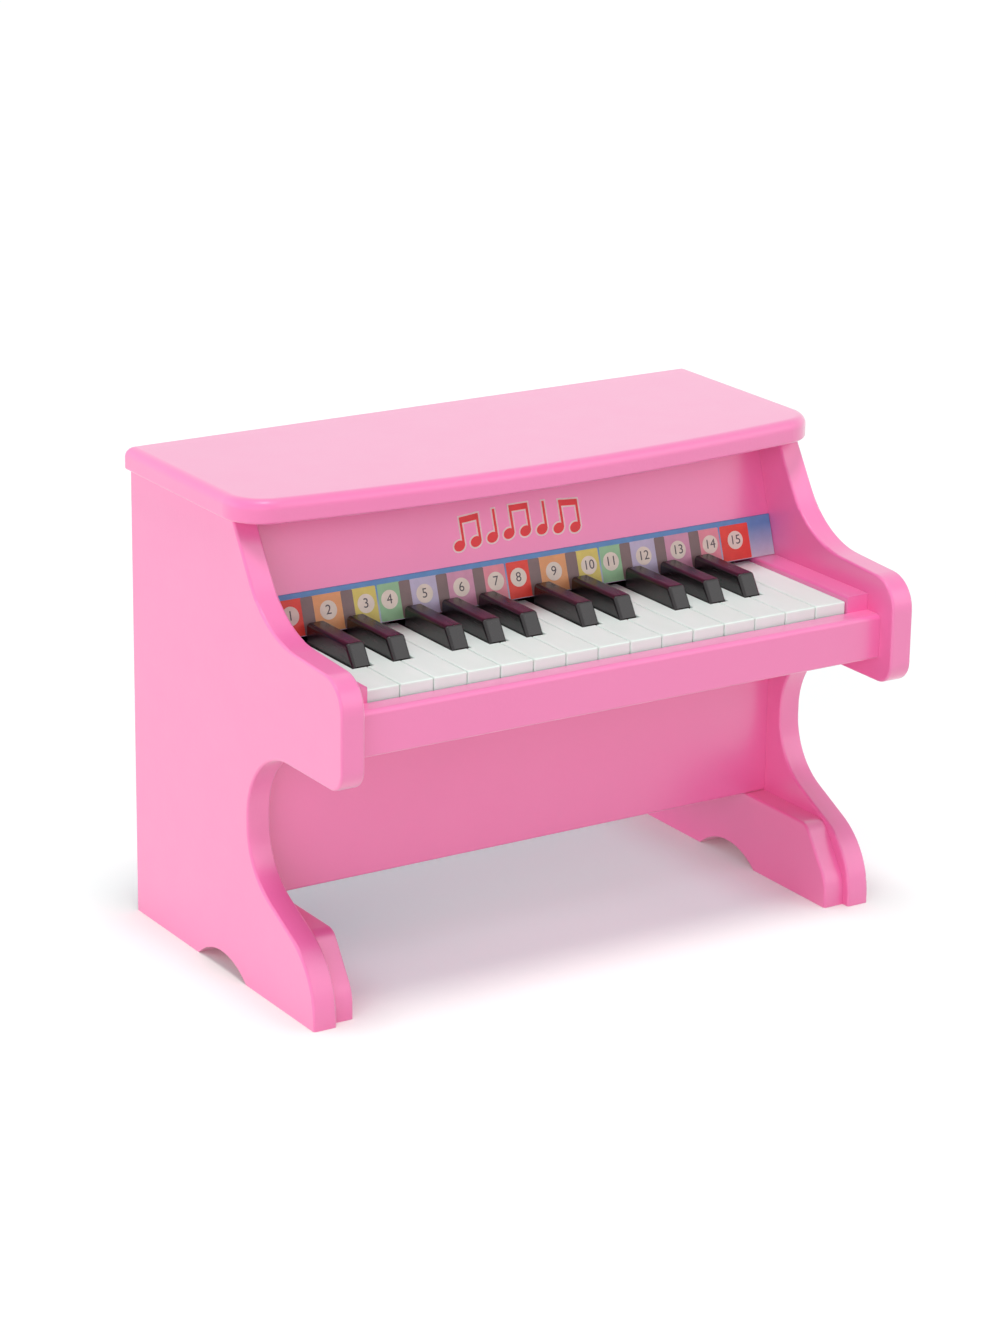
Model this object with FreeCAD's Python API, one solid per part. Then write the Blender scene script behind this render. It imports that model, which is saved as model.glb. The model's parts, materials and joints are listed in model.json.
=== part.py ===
"""Toy upright piano: a painted wooden case, 25 moulded keys on one rod, and the tone bars that they strike.

Millimetres. X runs along the keyboard from low notes to high, Y from the player to the back, Z is up.
The origin is on the floor, under the middle of the whole piano.
"""
import FreeCAD, Part
import math
import os

# Overall case
CASE_HEIGHT = 292.0
CASE_DEPTH = 248.0
LID_WIDTH = 400.0
LID_THICKNESS = 14.0
LID_SIDE_OVERHANG = 4.0
LID_BACK_OVERHANG = 2.0
LID_FRONT_OVERHANG = 18.0
LID_BOW = 16.0
LID_CORNER_RADIUS = 3.0
LID_FRONT_CORNER_RADIUS = 26.0
LID_EDGE_RADIUS = 6.0
SIDE_THICKNESS = 15.0

# Outline of the side panels: depths are measured from their back edge, heights from the floor,
# rises from the key tops and the chin's drop from the key bed
SIDE_TOP_DEPTH = 124.0
SHOULDER_DEPTH = 160.0
SHOULDER_RISE = 20.0
SHOULDER_RADIUS = 62.0
NOSE_RISE = 15.5
NOSE_RADIUS = 20.0
CHIN_DROP = 15.0
CHIN_RADIUS = 13.0
LEG_DEPTH = 139.0
KNEE_RADIUS = 46.0
ANKLE_HEIGHT = 73.0
ANKLE_RADIUS = 43.0
TOE_HEIGHT = 35.5
TOE_RADIUS = 48.0
TOE_SETBACK = 30.5
ARCH_CENTRE_DEPTH = 107.0
ARCH_LENGTH = 58.0
ARCH_HEIGHT = 11.0
PAINTED_EDGE_RADIUS = 1.6

# Foot blocks, glued inside the feet
FOOT_BLOCK_THICKNESS = 14.0
FOOT_BLOCK_HEIGHT = 48.0
FOOT_BLOCK_TOP_SETBACK = 27.5
FOOT_BLOCK_CORNER_RADIUS = 10.0
FOOT_BLOCK_TOE_SETBACK = 5.5
FOOT_BLOCK_TOE_HEIGHT = 16.0
FOOT_BLOCK_TOE_RADIUS = 24.0

# Boards between the sides
PANEL_THICKNESS = 9.0
LOWER_PANEL_DEPTH = 125.5
BACK_PANEL_THICKNESS = 4.0
BACK_RABBET = 7.0
BACK_RABBET_GAP = 0.3
BED_THICKNESS = 12.0
KEYSLIP_SETBACK = 12.0
KEYSLIP_THICKNESS = 12.5
KEYSLIP_DROP = 7.0
KEYSLIP_EDGE_RADIUS = 3.0
CHEEK_THICKNESS = 15.5
CHEEK_RISE = 3.0
CHEEK_BEHIND_PIVOT = 20.0

# Fallboard and the printed strip on it
FALLBOARD_FOOT_DEPTH = 127.0
FALLBOARD_LEAN = 18.0
STRIP_THICKNESS = 0.8
STRIP_LIFT = 0.4
STRIP_HEIGHT = 23.8
STRIP_END_GAP = 0.4

# Keys, white (w) and black (b), in groups whose levers share the group's width evenly
KEY_GROUPS = ("wbwbw", "wbwbwbw", "wbwbw", "wbwbwbw", "w")
KEYS_BELOW_LID_TOP = 92.0
KEY_SKIRT = 13.0
ROOM_UNDER_SKIRT = 9.0
KEY_GAP = 0.6
KEY_WALL = 2.0
KEY_EDGE_RADIUS = 0.9
KEY_FRONT_GAP = 1.5
WHITE_HEAD_SHARE = 0.39
NECK_UNDER_FALLBOARD = 4.5
NECK_ROOT = 10.0
KEY_DIP = 6.3
BLACK_RISE = 11.8
BLACK_FRONT_GAP = 1.5
BLACK_SLOPE = 7.5
BLACK_EDGE_RADIUS = 2.2
BLACK_BACK_GAP = 2.5

# Key levers, pivot and hammers
PIVOT_BEHIND_FALLBOARD = 10.0
PIVOT_BELOW_KEY_TOP = 10.0
ROD_DIAMETER = 4.0
ROD_FIT = 0.05
ROD_IN_CHEEK = 12.0
HUB_RADIUS = 6.0
LEVER_GAP = 2.9
LEVER_DROP = 2.0
LEVER_HEIGHT = 12.0
TAIL_LENGTH = 100.0
HAMMER_REACH = 62.0
HAMMER_RADIUS = 4.5
HAMMER_SETBACK = 1.3
HAMMER_STEM_WIDTH = 4.0
HAMMER_STEM_DEPTH = 5.0
BRACKET_THICKNESS = 1.2
BRACKET_WIDTH = 8.0
BRACKET_FOOT = 10.0

# Comb of leaf springs that presses each tail down
SPRING_THICKNESS = 0.4
SPRING_SPINE_WIDTH = 6.0
SPRING_REACH = 16.0
SPRING_WIDTH = 5.0
SPRING_SCREW_LENGTH = 8.0

# Felts and the rail under the tails
REST_GAP = 0.2
STOP_GAP = 0.3
STOP_FELT_WIDTH = 9.0
STOP_FELT_SETBACK = 2.0
TAIL_FELT_THICKNESS = 2.0
TAIL_RAIL_WIDTH = 12.0

# Tone bars, their rails and pins
BAR_GAP = 2.9
BAR_THICKNESS = 3.0
LONGEST_BAR = 92.0
BAR_NODE_SHARE = 0.2758
BAR_STRIKE_GAP = 0.3
RAIL_WIDTH = 8.0
RAIL_HEIGHT = 12.0
RAIL_CLEARANCE = 1.5
RAIL_FELT_THICKNESS = 2.0
RAIL_FELT_WIDTH = 6.0
PIN_DIAMETER = 2.0
PIN_FIT = 0.05
PIN_DEPTH = 8.0
PIN_HEAD_DIAMETER = 4.4
PIN_HEAD_HEIGHT = 1.0
BAR_HOLE_DIAMETER = 3.0
CLEAT_WIDTH = 12.0
CLEAT_HEIGHT = 12.0
CLEAT_MARGIN = 8.0

# Dowels and screws
DOWEL_DIAMETER = 6.0
DOWEL_LENGTH = 24.0
DOWEL_IN_SIDE = 10.0
DOWEL_IN_LID = 8.0
DOWEL_FIT = 0.05
DOWEL_END_GAP = 0.5
SCREW_DIAMETER = 3.0
SCREW_LENGTH = 12.0
RAIL_SCREW_LENGTH = 20.0
SCREW_FIT = 0.05
SCREW_HEAD_DIAMETER = 5.6
SCREW_HEAD_HEIGHT = 1.8
SCREW_SLOT_WIDTH = 0.8
SCREW_SLOT_LENGTH = 3.6
SCREW_SLOT_DEPTH = 0.9

# Places that follow from the sizes above
X_AXIS = FreeCAD.Vector(1, 0, 0)
Y_AXIS = FreeCAD.Vector(0, 1, 0)
Z_AXIS = FreeCAD.Vector(0, 0, 1)
FRONT_Y = -CASE_DEPTH / 2
LID_BACK_Y = CASE_DEPTH / 2
SIDE_BACK_Y = LID_BACK_Y - LID_BACK_OVERHANG
SIDE_OUTER_X = LID_WIDTH / 2 - LID_SIDE_OVERHANG
SIDE_INNER_X = SIDE_OUTER_X - SIDE_THICKNESS
SIDE_TOP_Z = CASE_HEIGHT - LID_THICKNESS
SIDE_TOP_FRONT_Y = SIDE_BACK_Y - SIDE_TOP_DEPTH
FOOT_INNER_X = SIDE_INNER_X - FOOT_BLOCK_THICKNESS
PANEL_BACK_Y = SIDE_BACK_Y - BACK_PANEL_THICKNESS
LOWER_PANEL_Y = SIDE_BACK_Y - LOWER_PANEL_DEPTH
LOWER_PANEL_BACK_Y = LOWER_PANEL_Y + PANEL_THICKNESS
KEY_TOP = CASE_HEIGHT - KEYS_BELOW_LID_TOP
KEY_BOTTOM = KEY_TOP - KEY_SKIRT
BED_TOP = KEY_BOTTOM - ROOM_UNDER_SKIRT
BED_BOTTOM = BED_TOP - BED_THICKNESS
CHIN_HEIGHT = BED_BOTTOM - CHIN_DROP
TOE_Y = FRONT_Y + TOE_SETBACK
KEYSLIP_Y = FRONT_Y + KEYSLIP_SETBACK
KEYSLIP_BACK_Y = KEYSLIP_Y + KEYSLIP_THICKNESS
KEYSLIP_TOP = KEY_TOP - KEYSLIP_DROP
CHEEK_INNER_X = SIDE_INNER_X - CHEEK_THICKNESS
CHEEK_TOP = KEY_TOP + CHEEK_RISE
FALLBOARD_Y = SIDE_BACK_Y - FALLBOARD_FOOT_DEPTH
LEAN = math.tan(math.radians(FALLBOARD_LEAN))
FALLBOARD_RUN = PANEL_THICKNESS / math.cos(math.radians(FALLBOARD_LEAN))

KEYBOARD_WIDTH = 2 * CHEEK_INNER_X
WHITE_PITCH = KEYBOARD_WIDTH / sum(group.count("w") for group in KEY_GROUPS)
NARROW_SLOT = WHITE_PITCH * min(group.count("w") / len(group) for group in KEY_GROUPS)
KEYS_PER_OCTAVE = len(KEY_GROUPS[0]) + len(KEY_GROUPS[1])
BLACK_WIDTH = NARROW_SLOT - KEY_GAP
LEVER_WIDTH = NARROW_SLOT - LEVER_GAP
HAMMER_WIDTH = LEVER_WIDTH - 2 * HAMMER_SETBACK
BAR_WIDTH = NARROW_SLOT - BAR_GAP
KEY_FRONT_Y = KEYSLIP_BACK_Y + KEY_FRONT_GAP
HEAD_BACK_Y = KEY_FRONT_Y + WHITE_HEAD_SHARE * (FALLBOARD_Y - KEY_FRONT_Y)
NECK_BACK_Y = FALLBOARD_Y + NECK_UNDER_FALLBOARD
BLACK_FRONT_Y = HEAD_BACK_Y + BLACK_FRONT_GAP
BLACK_BACK_Y = FALLBOARD_Y - STRIP_THICKNESS - BLACK_BACK_GAP
BLACK_TOP = KEY_TOP + BLACK_RISE
PIVOT_Y = FALLBOARD_Y + PIVOT_BEHIND_FALLBOARD
PIVOT_Z = KEY_TOP - PIVOT_BELOW_KEY_TOP
CHEEK_BACK_Y = PIVOT_Y + CHEEK_BEHIND_PIVOT
LEVER_TOP = KEY_TOP - LEVER_DROP
LEVER_BOTTOM = LEVER_TOP - LEVER_HEIGHT
TAIL_Y = PIVOT_Y + TAIL_LENGTH
KEY_ANGLE = math.asin(KEY_DIP / (PIVOT_Y - KEY_FRONT_Y))

TAIL_RISE = TAIL_LENGTH * math.sin(KEY_ANGLE)
RAIL_BOTTOM = LEVER_TOP + TAIL_RISE + RAIL_CLEARANCE
RAIL_TOP = RAIL_BOTTOM + RAIL_HEIGHT
BAR_BOTTOM = RAIL_TOP + RAIL_FELT_THICKNESS
BAR_TOP = BAR_BOTTOM + BAR_THICKNESS
HAMMER_ROOM = BAR_BOTTOM - BAR_STRIKE_GAP - HAMMER_RADIUS - PIVOT_Z - HAMMER_REACH * math.sin(KEY_ANGLE)
HAMMER_Y = PIVOT_Y + HAMMER_REACH
HAMMER_Z = PIVOT_Z + HAMMER_ROOM / math.cos(KEY_ANGLE)
STRIKE_Y = PIVOT_Y + HAMMER_REACH * math.cos(KEY_ANGLE) - HAMMER_ROOM * math.tan(KEY_ANGLE)
CLEAT_Y = CHEEK_BACK_Y + CLEAT_MARGIN
CLEAT_BACK_Y = PANEL_BACK_Y - CLEAT_MARGIN

# Places closer than this count as the same, and the most of a line that its two rounded ends may take
SAME_PLACE = 1e-3
MOST_OF_A_LINE = 0.97


def vec(x, y, z):
    return FreeCAD.Vector(x, y, z)


def block(x0, x1, y0, y1, z0, z1):
    """A box between two corners."""
    return Part.makeBox(x1 - x0, y1 - y0, z1 - z0, vec(x0, y0, z0))


def rod(start, axis, radius, length):
    return Part.makeCylinder(radius, length, start, axis)


def rounded_wire(corners):
    """A closed outline through (point, radius) corners, each rounded by an arc that meets its two lines.

    Arcs that a line has no room for are made smaller together.
    """
    points = [point for point, radius in corners]
    lines = [after - before for before, after in zip(points, points[1:] + points[:1])]
    halves = [(-lines[i - 1]).getAngle(lines[i]) / 2 for i in range(len(points))]
    reaches = [radius / math.tan(half) for (point, radius), half in zip(corners, halves)]
    fits = []
    for line, reach, next_reach in zip(lines, reaches, reaches[1:] + reaches[:1]):
        room = MOST_OF_A_LINE * line.Length
        fits.append(room / max(room, reach + next_reach))
    starts, ends, edges = [], [], []
    for i, point in enumerate(points):
        reach = reaches[i] * min(fits[i - 1], fits[i])
        to_last, to_next = -lines[i - 1] / lines[i - 1].Length, lines[i] / lines[i].Length
        starts.append(point + to_last * reach)
        ends.append(point + to_next * reach)
        if reach:
            inward = (to_last + to_next).normalize()
            to_middle = reach / math.cos(halves[i]) - reach * math.tan(halves[i])
            edges.append(Part.Arc(starts[i], point + inward * to_middle, ends[i]).toShape())
    for i, end in enumerate(ends):
        edges.append(Part.makeLine(end, starts[(i + 1) % len(points)]))
    return Part.Wire(Part.__sortEdges__(edges))


def side_prism(corners, x0, x1):
    """A solid whose outline, given as (y, z, radius) corners, runs along X from x0 to x1."""
    wire = rounded_wire([(vec(x0, y, z), radius) for y, z, radius in corners])
    return Part.Face(wire).extrude(vec(x1 - x0, 0, 0))


def flat_prism(points, z0, z1):
    """A solid whose outline, given as (x, y) points, runs up from z0 to z1."""
    corners = [vec(x, y, z0) for x, y in points]
    return Part.Face(Part.makePolygon(corners + corners[:1])).extrude(vec(0, 0, z1 - z0))


def eased(shape, radius, wanted):
    """Round the edges whose middle point passes the test."""
    edges = []
    for edge in shape.Edges:
        first, last = edge.ParameterRange
        if wanted(edge.valueAt((first + last) / 2), edge):
            edges.append(edge)
    return shape.makeFillet(radius, edges)


def near(a, b):
    return abs(a - b) < SAME_PLACE


def runs_along(edge, axis):
    """True for a straight edge along the given axis."""
    ends = edge.Vertexes
    return len(ends) == 2 and (ends[1].Point - ends[0].Point).cross(axis).Length < SAME_PLACE


def fallboard_face_y(z):
    return FALLBOARD_Y + (z - CHEEK_TOP) * LEAN


def mirrored(shape):
    return shape.mirror(vec(0, 0, 0), X_AXIS)


# Dowels: each is a peg and the slightly larger hole that is bored for it in both boards
def dowel(start, axis):
    peg = rod(start, axis, DOWEL_DIAMETER / 2, DOWEL_LENGTH)
    hole = rod(start - axis * DOWEL_END_GAP, axis, DOWEL_DIAMETER / 2 + DOWEL_FIT,
               DOWEL_LENGTH + 2 * DOWEL_END_GAP)
    return peg, hole


def right_side_dowels():
    """Pegs along X from each inner board into the right side panel, and up from that panel into the lid."""
    x0 = SIDE_INNER_X + DOWEL_IN_SIDE - DOWEL_LENGTH
    bed_mid = BED_BOTTOM + BED_THICKNESS / 2
    bed_span = PANEL_BACK_Y - KEYSLIP_BACK_Y
    lower_span = BED_BOTTOM - FOOT_BLOCK_HEIGHT
    board_span = PANEL_BACK_Y - LOWER_PANEL_BACK_Y
    fall_span = SIDE_TOP_Z - CHEEK_TOP
    lid_span = PANEL_BACK_Y - SIDE_TOP_FRONT_Y
    places = [(KEYSLIP_Y + KEYSLIP_THICKNESS / 2, (BED_BOTTOM + KEYSLIP_TOP) / 2)]
    for share in (0.2, 0.5, 0.8):
        places.append((KEYSLIP_BACK_Y + share * bed_span, bed_mid))
    for share in (0.25, 0.75):
        places.append((LOWER_PANEL_Y + PANEL_THICKNESS / 2, FOOT_BLOCK_HEIGHT + share * lower_span))
        places.append((LOWER_PANEL_BACK_Y + share * board_span, FOOT_BLOCK_HEIGHT + PANEL_THICKNESS / 2))
        fall_z = CHEEK_TOP + share * fall_span
        places.append((fallboard_face_y(fall_z) + FALLBOARD_RUN / 2, fall_z))
    dowels = [dowel(vec(x0, y, z), X_AXIS) for y, z in places]
    lid_x = SIDE_INNER_X + SIDE_THICKNESS / 2
    lid_z = SIDE_TOP_Z + DOWEL_IN_LID - DOWEL_LENGTH
    for share in (0.2, 0.5, 0.8):
        dowels.append(dowel(vec(lid_x, SIDE_TOP_FRONT_Y + share * lid_span, lid_z), Z_AXIS))
    return dowels


# Screws: a domed head with a cross slot on a plain shank, and the hole for the shank
def screw(seat, outward, length):
    """A screw whose head stands on the point seat and faces outward."""
    radius = SCREW_HEAD_DIAMETER / 2
    dome = radius / 2
    wire = Part.makePolygon([vec(0, 0, -length), vec(SCREW_DIAMETER / 2, 0, -length),
                             vec(SCREW_DIAMETER / 2, 0, 0), vec(radius, 0, 0),
                             vec(radius, 0, SCREW_HEAD_HEIGHT - dome), vec(dome, 0, SCREW_HEAD_HEIGHT),
                             vec(0, 0, SCREW_HEAD_HEIGHT), vec(0, 0, -length)])
    body = Part.Face(wire).revolve(vec(0, 0, 0), Z_AXIS, 360)
    half_length, half_width = SCREW_SLOT_LENGTH / 2, SCREW_SLOT_WIDTH / 2
    slot_z = SCREW_HEAD_HEIGHT - SCREW_SLOT_DEPTH
    slots = [block(-half_length, half_length, -half_width, half_width, slot_z, SCREW_HEAD_HEIGHT),
             block(-half_width, half_width, -half_length, half_length, slot_z, SCREW_HEAD_HEIGHT)]
    hole = rod(vec(0, 0, -length), Z_AXIS, SCREW_DIAMETER / 2 + SCREW_FIT, length)
    turn = FreeCAD.Placement(seat, FreeCAD.Rotation(Z_AXIS, outward))
    body = body.cut(slots)
    body.Placement = turn
    hole.Placement = turn
    return body, hole


def back_screws():
    """Screws through the back panel into the side panels and the bottom board."""
    seats = []
    for share in (0.1, 0.37, 0.63, 0.9):
        z = FOOT_BLOCK_HEIGHT + share * (SIDE_TOP_Z - FOOT_BLOCK_HEIGHT)
        for side in (-1, 1):
            seats.append((side * (SIDE_INNER_X + BACK_RABBET / 2), z))
    for share in (-0.5, 0, 0.5):
        seats.append((share * SIDE_INNER_X, FOOT_BLOCK_HEIGHT + PANEL_THICKNESS / 2))
    return [screw(vec(x, SIDE_BACK_Y, z), Y_AXIS, SCREW_LENGTH) for x, z in seats]


def bracket_screws():
    x_mid = BRACKET_THICKNESS / 2 + BRACKET_FOOT / 2
    seat_z = BED_TOP + BRACKET_THICKNESS
    return [screw(vec(x + x_mid, PIVOT_Y, seat_z), Z_AXIS, SCREW_LENGTH) for x in bracket_places()]


def cleat_screws():
    screws = []
    for side in (-1, 1):
        for share in (0.25, 0.75):
            y = CLEAT_Y + share * (CLEAT_BACK_Y - CLEAT_Y)
            seat = vec(side * (SIDE_INNER_X - CLEAT_WIDTH), y, RAIL_BOTTOM - CLEAT_HEIGHT / 2)
            screws.append(screw(seat, X_AXIS * -side, RAIL_SCREW_LENGTH))
    return screws


def rail_screws():
    x_mid = SIDE_INNER_X - CLEAT_WIDTH / 2
    screws = []
    for end in (-1, 1):
        for x in (-x_mid, x_mid):
            screws.append(screw(vec(x, rail_y(x, end), RAIL_TOP), Z_AXIS, RAIL_SCREW_LENGTH))
    return screws


def spring_screws():
    seat_z = RAIL_BOTTOM - SPRING_THICKNESS
    return [screw(vec(x, rail_y(x, -1), seat_z), -Z_AXIS, SPRING_SCREW_LENGTH) for x in bracket_places()]


# Case boards
def side_outline():
    """The corners of a side panel from its back foot, over the top and the arm, down the leg to the toe."""
    shoulder_y = SIDE_BACK_Y - SHOULDER_DEPTH
    leg_y = SIDE_BACK_Y - LEG_DEPTH
    return [(SIDE_BACK_Y, 0, 0), (SIDE_BACK_Y, SIDE_TOP_Z, 0), (SIDE_TOP_FRONT_Y, SIDE_TOP_Z, 0),
            (shoulder_y, KEY_TOP + SHOULDER_RISE, SHOULDER_RADIUS),
            (FRONT_Y, KEY_TOP + NOSE_RISE, NOSE_RADIUS), (FRONT_Y, CHIN_HEIGHT, CHIN_RADIUS),
            (leg_y, CHIN_HEIGHT, KNEE_RADIUS), (leg_y, ANKLE_HEIGHT, ANKLE_RADIUS),
            (TOE_Y, TOE_HEIGHT, TOE_RADIUS), (TOE_Y, 0, 0)]


def foot_arch():
    """The round cut under each foot, through the side panel and its foot block."""
    radius = ((ARCH_LENGTH / 2) ** 2 + ARCH_HEIGHT ** 2) / (2 * ARCH_HEIGHT)
    start = vec(FOOT_INNER_X, SIDE_BACK_Y - ARCH_CENTRE_DEPTH, ARCH_HEIGHT - radius)
    return rod(start, X_AXIS, radius, SIDE_OUTER_X - FOOT_INNER_X)


def right_side_panel(holes):
    panel = side_prism(side_outline(), SIDE_INNER_X, SIDE_OUTER_X)
    panel = eased(panel, PAINTED_EDGE_RADIUS, lambda p, edge: p.y < SIDE_TOP_FRONT_Y - SAME_PLACE
                  and p.z > SAME_PLACE and not runs_along(edge, X_AXIS))
    rabbet = block(SIDE_INNER_X, SIDE_INNER_X + BACK_RABBET, PANEL_BACK_Y, SIDE_BACK_Y,
                   FOOT_BLOCK_HEIGHT, SIDE_TOP_Z)
    return panel.cut([rabbet, foot_arch()] + holes)


def right_foot_block():
    toe_y = TOE_Y + FOOT_BLOCK_TOE_SETBACK
    top_y = TOE_Y + FOOT_BLOCK_TOP_SETBACK
    foot = side_prism([(SIDE_BACK_Y, 0, 0), (SIDE_BACK_Y, FOOT_BLOCK_HEIGHT, 0),
                       (top_y, FOOT_BLOCK_HEIGHT, FOOT_BLOCK_CORNER_RADIUS),
                       (toe_y, FOOT_BLOCK_TOE_HEIGHT, FOOT_BLOCK_TOE_RADIUS), (toe_y, 0, 0)],
                      FOOT_INNER_X, SIDE_INNER_X)
    foot = eased(foot, PAINTED_EDGE_RADIUS, lambda p, edge: near(p.x, FOOT_INNER_X)
                 and p.z > SAME_PLACE and p.y < SIDE_BACK_Y - SAME_PLACE)
    return foot.cut(foot_arch())


def right_cheek_block():
    cheek = block(CHEEK_INNER_X, SIDE_INNER_X, KEYSLIP_BACK_Y, CHEEK_BACK_Y, BED_TOP, CHEEK_TOP)
    cheek = eased(cheek, PAINTED_EDGE_RADIUS, lambda p, edge: near(p.x, CHEEK_INNER_X)
                  and near(p.z, CHEEK_TOP))
    return cheek.cut(rod(vec(CHEEK_INNER_X, PIVOT_Y, PIVOT_Z), X_AXIS, ROD_DIAMETER / 2 + ROD_FIT,
                         ROD_IN_CHEEK + ROD_FIT))


def lid(holes):
    """The top board, whose front edge bows out in the middle."""
    half, front_y = LID_WIDTH / 2, SIDE_TOP_FRONT_Y - LID_FRONT_OVERHANG
    bow = Part.Arc(vec(-half, front_y, SIDE_TOP_Z), vec(0, front_y - LID_BOW, SIDE_TOP_Z),
                   vec(half, front_y, SIDE_TOP_Z)).toShape()
    straight = Part.makePolygon([vec(half, front_y, SIDE_TOP_Z), vec(half, LID_BACK_Y, SIDE_TOP_Z),
                                 vec(-half, LID_BACK_Y, SIDE_TOP_Z), vec(-half, front_y, SIDE_TOP_Z)])
    top = Part.Face(Part.Wire([bow] + straight.Edges)).extrude(vec(0, 0, LID_THICKNESS))
    for y, radius in ((front_y, LID_FRONT_CORNER_RADIUS), (LID_BACK_Y, LID_CORNER_RADIUS)):
        top = eased(top, radius, lambda p, edge: runs_along(edge, Z_AXIS) and near(p.y, y))
    top = eased(top, LID_EDGE_RADIUS, lambda p, edge: near(p.z, CASE_HEIGHT))
    top = eased(top, PAINTED_EDGE_RADIUS, lambda p, edge: near(p.z, SIDE_TOP_Z))
    return top.cut(holes)


def inner_board(y0, y1, z0, z1, holes):
    return block(-SIDE_INNER_X, SIDE_INNER_X, y0, y1, z0, z1).cut(holes)


def keyslip(holes):
    slip = block(-SIDE_INNER_X, SIDE_INNER_X, KEYSLIP_Y, KEYSLIP_BACK_Y, BED_BOTTOM, KEYSLIP_TOP)
    slip = eased(slip, KEYSLIP_EDGE_RADIUS, lambda p, edge: near(p.y, KEYSLIP_Y) and near(p.z, KEYSLIP_TOP))
    slip = eased(slip, PAINTED_EDGE_RADIUS, lambda p, edge: near(p.y, KEYSLIP_Y) and near(p.z, BED_BOTTOM))
    return slip.cut(holes)


def lower_front_panel(holes):
    panel = block(-SIDE_INNER_X, SIDE_INNER_X, LOWER_PANEL_Y, LOWER_PANEL_BACK_Y,
                  FOOT_BLOCK_HEIGHT, BED_BOTTOM)
    panel = eased(panel, PAINTED_EDGE_RADIUS, lambda p, edge: near(p.y, LOWER_PANEL_Y)
                  and near(p.z, FOOT_BLOCK_HEIGHT))
    return panel.cut(holes)


def back_panel(holes):
    half = SIDE_INNER_X + BACK_RABBET - BACK_RABBET_GAP
    return block(-half, half, PANEL_BACK_Y, SIDE_BACK_Y, FOOT_BLOCK_HEIGHT, SIDE_TOP_Z).cut(holes)


def leaning_board(z0, z1, proud, run, half_width):
    """A board along the fallboard's lean whose front face stands proud of the fallboard's face."""
    front0, front1 = fallboard_face_y(z0) - proud, fallboard_face_y(z1) - proud
    return side_prism([(front0, z0, 0), (front0 + run, z0, 0), (front1 + run, z1, 0), (front1, z1, 0)],
                      -half_width, half_width)


def fallboard(holes):
    return leaning_board(CHEEK_TOP, SIDE_TOP_Z, 0, FALLBOARD_RUN, SIDE_INNER_X).cut(holes)


def key_guide_strip():
    run = STRIP_THICKNESS / math.cos(math.radians(FALLBOARD_LEAN))
    z0 = CHEEK_TOP + STRIP_LIFT
    return leaning_board(z0, z0 + STRIP_HEIGHT, run, run, SIDE_INNER_X - STRIP_END_GAP)


# Keyboard layout
class Key:
    """One key: the span of its head or cap, the span of its neck, and the slot that its lever takes."""

    def __init__(self, name, black, head, neck, slot):
        self.name = name
        self.black = black
        self.head = head
        self.neck = neck
        self.slot = slot
        self.centre = sum(slot) / 2


def keyboard():
    """The keys from left to right."""
    keys, whites, blacks = [], 0, 0
    for group in KEY_GROUPS:
        left = whites * WHITE_PITCH - KEYBOARD_WIDTH / 2
        slot_width = group.count("w") * WHITE_PITCH / len(group)
        for place, colour in enumerate(group):
            slot = (left + place * slot_width, left + (place + 1) * slot_width)
            if colour == "b":
                blacks += 1
                middle = sum(slot) / 2
                cap = (middle - BLACK_WIDTH / 2, middle + BLACK_WIDTH / 2)
                keys.append(Key(f"black_key_{blacks:02d}", True, cap, cap, slot))
            else:
                head_left = whites * WHITE_PITCH - KEYBOARD_WIDTH / 2
                head = (head_left + KEY_GAP / 2, head_left + WHITE_PITCH - KEY_GAP / 2)
                neck = (slot[0] + KEY_GAP / 2, slot[1] - KEY_GAP / 2)
                whites += 1
                keys.append(Key(f"white_key_{whites:02d}", False, head, neck, slot))
    return keys


def bracket_places():
    """The rod's brackets stand where two white keys meet with no black key between them."""
    places, x = [], -KEYBOARD_WIDTH / 2
    for group in KEY_GROUPS[:-1]:
        x += group.count("w") * WHITE_PITCH
        places.append(x)
    return places


# Keys
def lever(key, front_y):
    """The solid rear of a key: bar, hub on the rod, and the hammer that is moulded with it."""
    half = LEVER_WIDTH / 2
    bar = block(key.centre - half, key.centre + half, front_y, TAIL_Y, LEVER_BOTTOM, LEVER_TOP)
    hub_left, hub_right = key.slot[0] + KEY_GAP / 2, key.slot[1] - KEY_GAP / 2
    for x in bracket_places():
        hub_left += BRACKET_THICKNESS / 2 * near(x, key.slot[0])
        hub_right -= BRACKET_THICKNESS / 2 * near(x, key.slot[1])
    hub = rod(vec(hub_left, PIVOT_Y, PIVOT_Z), X_AXIS, HUB_RADIUS, hub_right - hub_left)
    stem = block(key.centre - HAMMER_STEM_WIDTH / 2, key.centre + HAMMER_STEM_WIDTH / 2,
                 HAMMER_Y - HAMMER_STEM_DEPTH / 2, HAMMER_Y + HAMMER_STEM_DEPTH / 2, LEVER_BOTTOM, HAMMER_Z)
    head = rod(vec(key.centre - HAMMER_WIDTH / 2, HAMMER_Y, HAMMER_Z), X_AXIS, HAMMER_RADIUS,
               HAMMER_WIDTH)
    return [bar, hub, stem, head]


def bored_for_rod(shape):
    return shape.cut(rod(vec(-SIDE_INNER_X, PIVOT_Y, PIVOT_Z), X_AXIS, ROD_DIAMETER / 2 + ROD_FIT,
                         2 * SIDE_INNER_X)).removeSplitter()


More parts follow.
